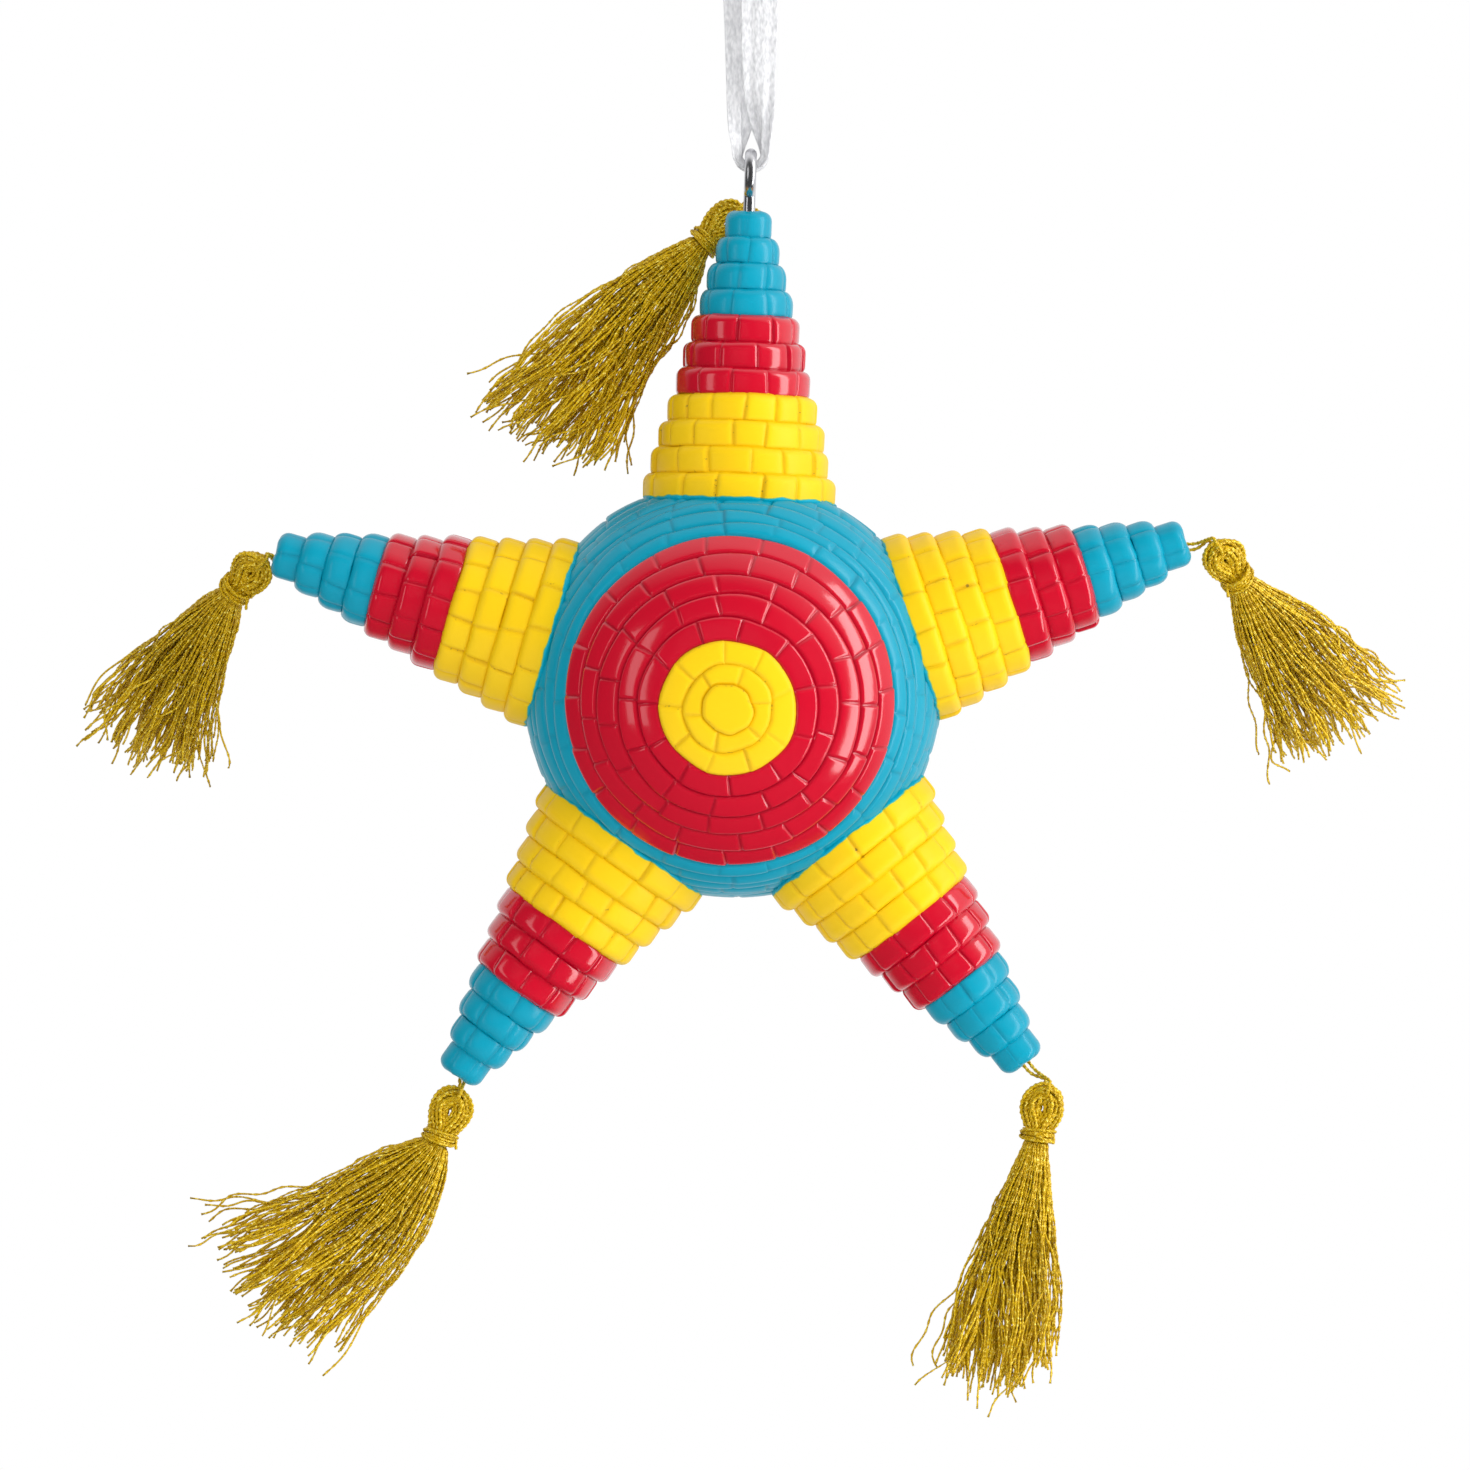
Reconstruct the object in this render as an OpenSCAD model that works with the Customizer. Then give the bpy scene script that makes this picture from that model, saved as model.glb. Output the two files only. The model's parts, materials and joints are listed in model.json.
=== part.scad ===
// Star ornament in the shape of a pinata: a hollow ball with five stepped cones, a tassel at
// each tip, and an eye screw that hangs in a ribbon loop. The origin is the hanging point, just
// under the ribbon's knot. +Z is up, the front faces -Y and the star lies in the XZ plane.
// An angle in a list is counted from +X towards +Z, as seen from the front.

/* [Ball] */
// Radius of the ball
ball_r = 22.7; // [20:0.1:30]
// Wall of the ball's shells and of the cones
wall = 1.6; // [1.2:0.1:2.4]
// Height of the lip that lines up the two shells
lip_h = 1.5; // [0.8:0.1:3]
// Thickness of the lip
lip_t = 0.7; // [0.5:0.1:0.9]

/* [Cones] */
// Distance from the ball's centre to a cone's tip
tip_dist = 52; // [42:0.5:64]
// Radius of a cone's base row
base_r = 10.4; // [8.5:0.1:12.5]
// Radius of a cone's tip row
tip_r = 2.7; // [2.6:0.1:3.5]
// Rows of bricks along a cone
row_count = 11; // [9:1:14]
// Blue rows, counted from the tip
blue_rows = 4; // [1:1:4]
// Red rows, next to the blue ones
red_rows = 3; // [1:1:4]
// Rounding at each row's shoulder
shoulder = 0.45; // [0.2:0.05:0.6]
// Rounding at the tip's end
tip_round = 1; // [0.5:0.1:1.5]
// Radius of the spigot that plugs a cone into the ball
spigot_r = 7; // [5:0.1:8]
// How far the spigot's flange stands out behind the ball's wall
flange_lap = 1.2; // [0.6:0.1:2]
// Thickness of the flange
flange_t = 1.2; // [0.8:0.1:2]
// Solid length behind a cone's tip
tip_solid = 10; // [9:0.5:14]

/* [Eye screw] */
// Diameter of the wire
wire_d = 1.3; // [1:0.1:1.6]
// Radius of the ring, to the middle of its wire
ring_r = 2.1; // [1.9:0.1:3]
// Height of the ring's top above the cone's tip
eye_stand = 6.9; // [6:0.1:9]
// Length of the thread in the cone
thread_len = 7; // [4:0.5:8]
// Outer diameter of the thread
thread_d = 1.9; // [1.6:0.1:2]
// Pitch of the thread
thread_pitch = 0.7; // [0.5:0.05:1]

/* [Ribbon] */
// Drop from the hanging point to the top of the eye
ribbon_drop = 24; // [22:0.5:40]
// Width of the ribbon where it lies open
ribbon_w = 6; // [4:0.5:8]
// Width of the ribbon where it is gathered through the eye
gather_w = 2; // [1.4:0.1:2]
// Thickness of the gathered ribbon
gather_t = 1.4; // [0.8:0.1:1.5]
// Thickness of the open ribbon, with its folds
open_t = 0.6; // [0.3:0.1:0.8]
// Diameter of the knot
knot_d = 6.6; // [6:0.2:9]
// Height of the knot
knot_h = 4.4; // [3.5:0.1:6]
// Length of the two tails above the knot
tail_len = 5; // [3:0.5:10]

/* [Tassels] */
// Diameter of the metallic thread that hangs a tassel
thread_loop_d = 0.44; // [0.3:0.02:0.5]
// Diameter of the hole behind each tip that holds the thread
tie_hole_d = 1.3; // [1.2:0.05:1.5]
// Distance of that hole from the tip's end
tie_inset = 2; // [1.6:0.1:2.2]
// Depth of that hole
tie_depth = 1.4; // [1:0.1:1.5]
// Radius of the folded head, to the middle of its bundle
head_r = 1.55; // [1.5:0.05:2]
// Diameter of the bundle that is folded into the head
bundle_d = 1.7; // [1.4:0.1:1.8]
// Diameter of the neck under the binding
neck_d = 2.7; // [2:0.1:3.2]
// Thickness of the binding
wrap_t = 0.4; // [0.2:0.05:0.8]
// Height of the binding
wrap_h = 1.7; // [1:0.1:3]
// Length of the skirt below the binding
skirt_len = 27; // [18:0.5:36]
// Half width of the skirt's end, across the front
skirt_w = 9; // [5:0.5:10]
// Half depth of the skirt's end
skirt_y = 4; // [2.5:0.5:5]

/* [Fits] */
// Gap between mouldings that are glued together
glue_gap = 0.05; // [0.02:0.01:0.1]
// Gap between pieces that move on each other
free_gap = 0.15; // [0.1:0.01:0.2]

/* [Hidden] */
$fn = 64;

blue = [0.0, 0.61, 0.72];
red = [0.78, 0.07, 0.16];
yellow = [0.96, 0.81, 0.0];
gold = [0.78, 0.62, 0.08];
silver = [0.80, 0.80, 0.82];
ribbon_white = [0.94, 0.94, 0.94];

// Places in the lists below
TOP = 0;
LEFT = 1;
LOWER_LEFT = 2;
LOWER_RIGHT = 3;
RIGHT = 4;
SIDES = [TOP, LEFT, LOWER_LEFT, LOWER_RIGHT, RIGHT];

// The hand-sculpted star isn't quite even, so each cone has its own angle
cone_angle = [88, 163.6, 234.6, 308, 17.9];
// Direction of each thread loop, from its hole towards the tassel
loop_angle = [106, 183, 254, 309, 2];
// Distance that each loop reaches across the front
loop_reach = [2.6, 3.4, 3.7, 5.6, 5.2];
// Depth of each head's middle behind the star's middle plane
head_back = [4.4, 1.8, 1.8, 1.8, 1.8];
// Direction of each head, and of each skirt
head_angle = [221, 225, 247, 260, 307];
skirt_angle = [233, 240, 225, 260, 300];
// How far each tassel leans back
lean_back = [0, 36, 0, 0, 36];

// How far the middle of each thread loop bows to the side, to pass the eye screw's wire
loop_bow = [1.6, 0, 0, 0, 0];

// How far a cutter runs past the face that it cuts
over = 1;
// Room under the end of the screw, and under the end of a thread
bore_floor = 0.3;
// Length of neck that shows above the binding
neck_bare = 0.4;

function dir(angle) = [cos(angle), 0, sin(angle)];

wire_r = wire_d / 2;
swing_z = -ribbon_drop - wire_r;
star_centre = [0, 0, swing_z] - (tip_dist + eye_stand - wire_r) * dir(cone_angle[TOP]);
inner_r = ball_r - wall;
lip_root = wall / 4;
lip_r = inner_r + 0.1;
base_z = sqrt(pow(ball_r, 2) - pow(base_r, 2));
row_h = (tip_dist - base_z) / row_count;
row_step = (base_r - tip_r) / (row_count - 1);
flange_r = spigot_r + flange_lap;
flange_top = sqrt(pow(inner_r, 2) - pow(flange_r, 2)) - free_gap;
ring_z = tip_dist + eye_stand - wire_r - ring_r;
tie_r = tie_hole_d / 2;
neck_z = 2 * head_r + bundle_d / 2 + neck_bare;
wrap_d = neck_d + 2 * wrap_t;
wrap_end = neck_z + wrap_h;

function row_radius(row) = tip_r + row * row_step;
function row_top(row) = tip_dist - row * row_h;

// ---- ball ----

// Quarter of the shell's section: radius across, and distance from the middle plane upwards
module shell_section() {
    intersection() {
        difference() {
            circle(r = ball_r);
            circle(r = inner_r);
        }
        square(ball_r + over);
    }
}

// Openings for the cones' spigots, in the frame of the ball
module spigot_holes() {
    for (side = SIDES)
        rotate([0, 90 - cone_angle[side], 0])
            translate([0, 0, inner_r / 2])
                rotate(45)
                    cylinder(r = spigot_r + glue_gap, h = ball_r);
}

// The front shell has a rebate inside its rim, and the back shell a lip that fits in it
module ball_front() {
    color(blue)
        translate(star_centre)
            difference() {
                rotate([90, 0, 0])
                    rotate_extrude()
                        difference() {
                            shell_section();
                            square([lip_r + lip_t + glue_gap, lip_h + glue_gap]);
                        }
                spigot_holes();
            }
}

module ball_back() {
    color(blue)
        translate(star_centre)
            difference() {
                rotate([-90, 0, 0]) {
                    rotate_extrude()
                        shell_section();
                    translate([0, 0, -lip_h])
                        difference() {
                            cylinder(r = lip_r + lip_t, h = lip_h + lip_root);
                            translate([0, 0, -over])
                                cylinder(r = lip_r, h = lip_h + lip_root + 2 * over);
                        }
                }
                spigot_holes();
            }
}

// ---- cones ----

// Outline of some of a cone's rows, as radius and height along the cone
function row_points(first, last) = [
    for (row = [first : last])
        let (soft = row == 0 ? tip_round : shoulder)
            each [
                [row_radius(row) - soft, row_top(row)],
                [row_radius(row), row_top(row) - soft],
                [row_radius(row), row_top(row + 1)],
            ]
];

module rows(first, last) {
    rotate_extrude()
        polygon(concat(
            [[0, row_top(last + 1)], [0, row_top(first)]],
            row_points(first, last)));
}

// The hollow narrows from the spigot to the row that it ends in
module cone_hollow() {
    end_row = floor(tip_solid / row_h) - 1;
    translate([0, 0, flange_top - flange_t - over])
        cylinder(r = spigot_r - wall, h = base_z - flange_top + flange_t + over);
    translate([0, 0, base_z])
        cylinder(
            r1 = spigot_r - wall, r2 = row_radius(end_row) - wall,
            h = tip_dist - tip_solid - base_z);
}

module tie_hole() {
    translate([0, tip_r - tie_depth, tip_dist - tie_inset])
        rotate([-90, 0, 0])
            cylinder(r = tie_r, h = tie_depth + over);
}

module screw_bore() {
    translate([0, 0, tip_dist - thread_len - bore_floor])
        cylinder(r = thread_d / 2 + glue_gap, h = thread_len + bore_floor + over);
}

module spigot() {
    translate([0, 0, flange_top - flange_t])
        cylinder(r = flange_r, h = flange_t);
    translate([0, 0, flange_top - flange_t])
        cylinder(r = spigot_r, h = base_z + row_h - flange_top);
}

module cone(side) {
    translate(star_centre)
        rotate([0, 90 - cone_angle[side], 0]) {
            color(blue)
                difference() {
                    rows(0, blue_rows - 1);
                    cone_hollow();
                    tie_hole();
                    if (side == TOP)
                        screw_bore();
                }
            color(red)
                difference() {
                    rows(blue_rows, blue_rows + red_rows - 1);
                    cone_hollow();
                }
            color(yellow)
                difference() {
                    union() {
                        difference() {
                            rows(blue_rows + red_rows, row_count - 1);
                            sphere(r = ball_r + glue_gap);
                        }
                        spigot();
                    }
                    cone_hollow();
                }
        }
}

// ---- eye screw ----

// Half outline of the thread, one tooth for each turn
function thread_points() = [
    for (turn = [0 : floor(thread_len / thread_pitch) - 1])
        each [
            [thread_d / 2 - thread_pitch * 0.35, -turn * thread_pitch],
            [thread_d / 2, -(turn + 0.5) * thread_pitch],
        ]
];

module eye_screw() {
    color(silver)
        translate(star_centre)
            rotate([0, 90 - cone_angle[TOP], 0]) {
                translate([0, 0, ring_z])
                    rotate([0, 90, 0])
                        rotate_extrude()
                            translate([ring_r, 0])
                                circle(r = wire_r);
                translate([0, 0, tip_dist])
                    cylinder(r = wire_r, h = ring_z - ring_r - tip_dist);
                translate([0, 0, tip_dist])
                    rotate_extrude()
                        polygon(concat(
                            [[0, -thread_len], [0, 0]],
                            thread_points(),
                            [[thread_d / 4, -thread_len]]));
            }
}

// ---- swept cords ----

// Unit vector from a to b
function toward(a, b) = (b - a) / norm(b - a);

// Direction of a route at point i
function heading(route, i) =
    let (last = len(route) - 1)
        toward(route[max(i - 1, 0)], route[min(i + 1, last)]);

// A smooth curve through every point of a route, with some steps between each two
function smooth(route, steps) = [
    for (i = [0 : len(route) - 2])
        let (
            a = route[max(i - 1, 0)],
            b = route[i],
            c = route[i + 1],
            d = route[min(i + 2, len(route) - 1)]
        )
            for (k = [0 : steps - 1])
                let (t = k / steps)
                    0.5 * (2 * b + (c - a) * t + (2 * a - 5 * b + 4 * c - d) * pow(t, 2)
                        + (3 * b - a - 3 * c + d) * pow(t, 3)),
    route[len(route) - 1],
];

// Part of v at right angles to the unit vector along
function across(v, along) =
    let (flat = v - (v * along) * along)
        flat / norm(flat);

// Joins rings of points, each with the same count, into one closed solid
module skin(rings) {
    sides = len(rings[0]);
    last = len(rings) - 1;
    polyhedron(
        points = [for (ring = rings) each ring],
        faces = concat(
            [[for (k = [0 : sides - 1]) k]],
            [
                for (i = [0 : last - 1], k = [0 : sides - 1])
                    each [
                        [i * sides + k, (i + 1) * sides + k, i * sides + (k + 1) % sides],
                        [
                            i * sides + (k + 1) % sides, (i + 1) * sides + k,
                            (i + 1) * sides + (k + 1) % sides
                        ],
                    ]
            ],
            [[for (k = [sides - 1 : -1 : 0]) last * sides + k]]));
}

// Oval ring around a point: wide is the direction of its half width w, and h its half height
function oval(centre, along, wide, w, h, sides) =
    let (x = across(wide, along), y = cross(along, x))
        [for (k = [0 : sides - 1]) centre + w * cos(360 * k / sides) * x
            + h * sin(360 * k / sides) * y];

// ---- ribbon ----

// Half of the ribbon's route, from the knot down to the eye, for the strand on the left: the
// place across as a share of the bend's radius, the place in depth, and the share of the drop.
// The other strand is its mirror.
strand = [
    [-0.75, 0.2, 0],
    [-0.95, 0.4, 0.08],
    [-1.1, 0.6, 0.18],
    [-1.05, 0.8, 0.34],
    [-1, 0.8, 0.5],
    [-1, 0.7, 0.66],
    [-1, 0.4, 0.82],
    [-1, 0.2, 0.94],
];
// How open the ribbon is at each of those points
strand_open = [0.1, 0.25, 0.4, 0.4, 0.35, 0.3, 0.2, 0.1];
bend_r = wire_r + free_gap + gather_t / 2;
// How much narrower the open ribbon is for its curled edges
curl = 1;
BEND_STEPS = 8;
STRAND_STEPS = 3;

function left_strand() = [
    for (p = strand) [p[0] * bend_r, p[1], -p[2] * ribbon_drop]
];
function mirrored(points) = [
    for (i = [len(points) - 1 : -1 : 0]) [-points[i][0], -points[i][1], points[i][2]]
];
function reversed(values) = [for (i = [len(values) - 1 : -1 : 0]) values[i]];

module ribbon() {
    bend = [
        for (k = [0 : BEND_STEPS])
            let (a = 180 + 180 * k / BEND_STEPS)
                [bend_r * cos(a), 0, swing_z + bend_r * sin(a)]
    ];
    corners = concat(left_strand(), bend, mirrored(left_strand()));
    open = concat(strand_open, [for (k = [0 : BEND_STEPS]) 0], reversed(strand_open));
    route = smooth(corners, STRAND_STEPS);
    last = len(route) - 1;
    rings = [
        for (i = [0 : last])
            let (
                step = i / STRAND_STEPS,
                here = floor(step),
                next = min(here + 1, len(open) - 1),
                share = open[here] + (open[next] - open[here]) * (step - here),
                along = i == 0 ? [0, 0, -1] : i == last ? [0, 0, 1] : heading(route, i),
                turn = i < last / 2 ? 90 * share : -90 * share,
                wide = [sin(turn), cos(turn), 0],
                w = gather_w + (ribbon_w - curl - gather_w) * share,
                h = gather_t + (open_t - gather_t) * share
            )
                oval(route[i], along, wide, w / 2, h / 2, 10)
    ];
    color(ribbon_white)
        skin(rings);
}

// The two tails: their lean, half their distance, their width and their depth in the knot
tail_lean = 20;
tail_gap = 1;
tail_w = 4.2;
tail_root = 0.5;

module ribbon_knot() {
    waist = knot_d / 2;
    color(ribbon_white) {
        rotate_extrude()
            polygon([
                [0, 0], [waist * 0.85, 0], [waist, knot_h * 0.3],
                [waist, knot_h * 0.7], [waist * 0.7, knot_h], [0, knot_h],
            ]);
        for (side = [-1, 1])
            translate([0, side * tail_gap, knot_h - tail_root])
                rotate([0, side * tail_lean, 0])
                    translate([-tail_w / 2, -open_t / 2, 0])
                        cube([tail_w, open_t, tail_len]);
    }
}

// ---- tassels ----

// Middle of the hole that holds a tassel's thread, on the cone's axis
function tie_point(side) =
    star_centre + (tip_dist - tie_inset) * dir(cone_angle[side]);

// Middle of the bundle that hangs in a thread loop
function bundle_point(side) =
    tie_point(side) + loop_reach[side] * dir(loop_angle[side]) + [0, head_back[side], 0];

// Lays a shape that is drawn with the tassel along +Z, from its bundle, at its tip of the star
module at_tassel(side) {
    translate(bundle_point(side))
        rotate([0, 90 - head_angle[side], 0])
            rotate([-lean_back[side], 0, 0])
                children();
}

// Place of a point that is given across, in depth and along an angle, from an origin
function place(origin, angle, p) =
    origin + p[0] * [sin(angle), 0, -cos(angle)] + [0, p[1], 0] + p[2] * dir(angle);

// The thread comes out of its hole as two strands, skims the tip's back and hooks round the
// bundle through the head's eye. The strands lie either side of the loop's middle line.
module tassel_loop(side) {
    thread_r = thread_loop_d / 2;
    skim = tip_r + free_gap + thread_r;
    hook_r = bundle_d / 2 + free_gap + thread_r;
    bow = loop_bow[side];
    // A strand's way out: half the gap between the strands, the share of the bow, the depth
    // and the length along the loop
    out = [
        [0.25, 0, tip_r - tie_depth + bore_floor, 0],
        [0.27, 0, tip_r - 0.4, 0],
        [0.3, 0.05, skim - free_gap, 0.15],
        [0.35, 0.3, skim, 0.6],
        [0.35, 0.75, skim, 1.1],
        [0.3, 1, max(skim, head_back[side] - 0.7), 0.45 * loop_reach[side]],
    ];
    // The hook's turn, with its strands crossing from one side of the bundle to the other
    flip = cos(loop_angle[side] - head_angle[side]) < 0 ? -1 : 1;
    hook = [
        for (a = [-60 : 30 : 240])
            place(bundle_point(side), head_angle[side],
                [-0.25 * flip * cos(a), -hook_r * cos(a), hook_r * sin(a)])
    ];
    function strand_way(sign) = [
        for (p = out)
            place(tie_point(side), loop_angle[side], [sign * p[0] + p[1] * bow, p[2], p[3]])
    ];
    way = smooth(concat(strand_way(-1), hook, reversed(strand_way(1))), 3);
    last = len(way) - 1;
    wide = dir(loop_angle[side] - 90) + [0, 0.3, 0];
    color(gold)
        skin([
            for (i = [0 : last])
                let (along = i == 0 ? [0, 1, 0] : i == last ? [0, -1, 0] : heading(way, i))
                    oval(way[i], along, wide, thread_r, thread_r, 8)
        ]);
}

module tassel_head(side) {
    color(gold)
        at_tassel(side) {
            translate([0, 0, head_r])
                rotate([90, 0, 0])
                    rotate_extrude()
                        translate([head_r, 0])
                            circle(d = bundle_d);
            translate([0, 0, 2 * head_r])
                cylinder(d = neck_d, h = wrap_end - 2 * head_r);
        }
}

module tassel_binding(side) {
    color(gold)
        at_tassel(side)
            translate([0, 0, neck_z])
                difference() {
                    cylinder(d = wrap_d, h = wrap_h);
                    translate([0, 0, -over])
                        cylinder(d = neck_d + 2 * glue_gap, h = wrap_h + 2 * over);
                }
}

SKIRT_RINGS = 8;

// The skirt leaves the binding in line with the head and bends to its own direction
module tassel_skirt(side) {
    bend = head_angle[side] - skirt_angle[side];
    start = [0, 0, wrap_end + glue_gap];
    knee = start + [0, 0, skirt_len * 0.35];
    end = start + skirt_len * [sin(bend), 0, cos(bend)];
    rings = [
        for (i = [0 : SKIRT_RINGS])
            let (
                t = i / SKIRT_RINGS,
                centre = pow(1 - t, 2) * start + 2 * t * (1 - t) * knee + pow(t, 2) * end,
                along = i == 0 ? [0, 0, 1] : toward(start, (1 - t) * knee + t * end),
                w = neck_d / 2 + (skirt_w - neck_d / 2) * t,
                h = neck_d / 2 + (skirt_y - neck_d / 2) * t
            )
                oval(centre, along, [1, 0, 0], w, h, 16)
    ];
    color(gold)
        at_tassel(side)
            skin(rings);
}

ribbon();
ribbon_knot();
eye_screw();
ball_front();
ball_back();
cone(TOP);  // top_cone
cone(LEFT);  // left_cone
cone(LOWER_LEFT);  // lower_left_cone
cone(LOWER_RIGHT);  // lower_right_cone
cone(RIGHT);  // right_cone
tassel_loop(TOP);  // top_tassel_loop
tassel_loop(LEFT);  // left_tassel_loop
tassel_loop(LOWER_LEFT);  // lower_left_tassel_loop
tassel_loop(LOWER_RIGHT);  // lower_right_tassel_loop
tassel_loop(RIGHT);  // right_tassel_loop
tassel_head(TOP);  // top_tassel_head
tassel_head(LEFT);  // left_tassel_head
tassel_head(LOWER_LEFT);  // lower_left_tassel_head
tassel_head(LOWER_RIGHT);  // lower_right_tassel_head
tassel_head(RIGHT);  // right_tassel_head
tassel_binding(TOP);  // top_tassel_binding
tassel_binding(LEFT);  // left_tassel_binding
tassel_binding(LOWER_LEFT);  // lower_left_tassel_binding
tassel_binding(LOWER_RIGHT);  // lower_right_tassel_binding
tassel_binding(RIGHT);  // right_tassel_binding
tassel_skirt(TOP);  // top_tassel_skirt
tassel_skirt(LEFT);  // left_tassel_skirt
tassel_skirt(LOWER_LEFT);  // lower_left_tassel_skirt
tassel_skirt(LOWER_RIGHT);  // lower_right_tassel_skirt
tassel_skirt(RIGHT);  // right_tassel_skirt
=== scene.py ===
import json
import math
from collections import namedtuple

import bpy
import numpy as np
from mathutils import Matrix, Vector


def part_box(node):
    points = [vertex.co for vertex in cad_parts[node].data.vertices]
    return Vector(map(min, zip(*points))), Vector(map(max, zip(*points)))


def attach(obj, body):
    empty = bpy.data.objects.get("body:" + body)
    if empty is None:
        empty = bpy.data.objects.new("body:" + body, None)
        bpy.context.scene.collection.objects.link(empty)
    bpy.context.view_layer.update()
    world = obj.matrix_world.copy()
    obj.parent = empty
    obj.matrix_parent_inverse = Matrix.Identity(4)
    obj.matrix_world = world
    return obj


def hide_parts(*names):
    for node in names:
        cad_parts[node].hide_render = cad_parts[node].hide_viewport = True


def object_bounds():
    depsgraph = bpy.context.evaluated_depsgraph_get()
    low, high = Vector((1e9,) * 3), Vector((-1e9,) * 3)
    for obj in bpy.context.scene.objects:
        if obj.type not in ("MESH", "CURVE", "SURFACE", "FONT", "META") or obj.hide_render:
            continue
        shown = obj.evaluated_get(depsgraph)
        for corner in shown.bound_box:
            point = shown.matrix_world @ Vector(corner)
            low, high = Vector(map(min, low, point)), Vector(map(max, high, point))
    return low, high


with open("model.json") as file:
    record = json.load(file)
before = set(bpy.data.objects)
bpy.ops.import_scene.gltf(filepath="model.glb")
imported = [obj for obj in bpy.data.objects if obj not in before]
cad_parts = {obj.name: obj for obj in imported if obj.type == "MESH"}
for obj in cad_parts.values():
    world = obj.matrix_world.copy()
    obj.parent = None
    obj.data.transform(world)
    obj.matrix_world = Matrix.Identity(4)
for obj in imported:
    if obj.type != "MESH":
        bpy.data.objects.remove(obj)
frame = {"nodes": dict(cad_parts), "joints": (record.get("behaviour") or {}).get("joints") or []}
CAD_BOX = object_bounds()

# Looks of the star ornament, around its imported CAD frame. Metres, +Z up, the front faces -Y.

MM = 0.001
JOINTS = {joint["name"]: joint for joint in frame["joints"]}
SIDES = ["top", "left", "lower_left", "lower_right", "right"]
X, Y, Z = np.eye(3)

# ---- what the photograph's view takes in, from the frame's origin ----
VIEW_WIDTH = 160.5 * MM
VIEW_LEFT = -82.0 * MM
VIEW_TOP = -7.8 * MM
VIEW_DISTANCE = 0.9
SENSOR = 36.0

# ---- the ball's courses of bricks: the polar angle of each edge, and each course's count ----
BALL_EDGES = [
    0, 6.8, 12.2, 18.85, 25.5, 32.15, 38.8, 45.45, 52.1, 57.5, 62.9, 68.3, 73.7, 79.2, 84.6, 90]
BALL_BRICKS = [1, 6, 9, 11, 13, 15, 17, 19, 21, 22, 24, 25, 26, 27, 27]
# Where the red and the blue start
BALL_YELLOW = 3
BALL_RED = 8
# The disc's pole points a little down and to the left of straight ahead
POLE_DOWN = math.radians(6.2)
POLE_LEFT = math.radians(1.3)
SHELL = 1.5 * MM

# ---- a cone's rows, from the tip to the ball, and where the red and the yellow start ----
CONE_BRICKS = [6, 7, 8, 9, 10, 11, 12, 14, 14, 14, 14]
CONE_BLUE = 4
CONE_RED = 7
TIP_R = 2.7 * MM
TIE_INSET = 2.0 * MM
# How far the last row reaches down into the ball, whose surface curves away from it
SINK = 1.2 * MM

# ---- tassels ----
THREAD_LOOP_D = 0.44 * MM
BUNDLE_D = 1.7 * MM
FREE_GAP = 0.15 * MM
TIE_DEPTH = 1.4 * MM
BORE_FLOOR = 0.3 * MM
LOOP_BOW = {"top": 1.6 * MM}
LEAN_BACK = {"left": 36, "right": 36}
HEAD_THREADS = 28
SKIRT_LEN = 27 * MM
SKIRT_DEPTH = 3.8 * MM
SKIRT_THREADS = 210
SKIRT_STEPS = 64
NECK_R = 1.2 * MM
# Each skirt's angle, half its fan's width, its threads' reach as a share of its length, how soon it
# widens (below 1 it bellies out), and which side stands off more loosely: 1 is the upper, -1 the lower
Skirt = namedtuple("Skirt", "angle width reach belly loose")
SKIRTS = {
    "top": Skirt(230, 8.8 * MM, 1.0, 0.92, 1),
    "left": Skirt(235, 8.8 * MM, 0.93, 1.05, 1),
    "lower_left": Skirt(221, 10.6 * MM, 0.955, 0.8, -1),
    "lower_right": Skirt(260, 7.5 * MM, 0.965, 1.1, 1),
    "right": Skirt(307, 9.4 * MM, 0.935, 1.0, 1),
}

# ---- ribbon: its left strand, down from the knot: across in bend radii, depth in mm, share of the drop ----
STRAND = [
    (-0.60, 0.2, 0), (-0.66, 0.5, 0.08), (-0.68, 0.7, 0.18), (-0.64, 0.8, 0.34),
    (-0.60, 0.8, 0.5), (-0.60, 0.7, 0.66), (-0.68, 0.5, 0.82), (-0.88, 0.25, 0.94),
]
# Half its width at each of those, in mm, and how far it has turned to face the front
STRAND_HALF = [1.3, 2.2, 2.15, 2.05, 1.95, 1.85, 1.6, 1.3]
STRAND_TURN = [1, 1, 1, 1, 1, 1, 0.85, 0.4]
STRAND_STEPS = 8
LINE_STEPS = 150
BEND_HALF = 1.15
BEND_R = 1.5 * MM
BEND_STEPS = 8
WIRE_R = 0.65 * MM
KNOT_H = 4.4 * MM
KNOT_WAIST = 3.3 * MM


# ---- vectors and routes ----

def unit(v):
    """The vectors along the last axis, each with length 1."""
    return v / np.maximum(np.linalg.norm(v, axis=-1, keepdims=True), 1e-12)


def across(v, along):
    """The part of v at right angles to along, with length 1."""
    return unit(v - (v * along).sum(-1, keepdims=True) * along)


def heading(line):
    """The direction of a line at each of its points."""
    return unit(np.gradient(line, axis=-2))


def smooth(route, steps):
    """A smooth curve through every point of a route, as part.scad draws it."""
    route = np.array(route, float)
    padded = np.concatenate([route[:1], route, route[-1:]])
    a, b, c, d = padded[:-3], padded[1:-2], padded[2:-1], padded[3:]
    t = (np.arange(steps) / steps)[None, :, None]
    a, b, c, d = (p[:, None, :] for p in (a, b, c, d))
    curve = 0.5 * (
        2 * b + (c - a) * t + (2 * a - 5 * b + 4 * c - d) * t**2 + (3 * b - a - 3 * c + d) * t**3
    )
    return np.concatenate([curve.reshape(-1, route.shape[1]), route[-1:]])


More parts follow.
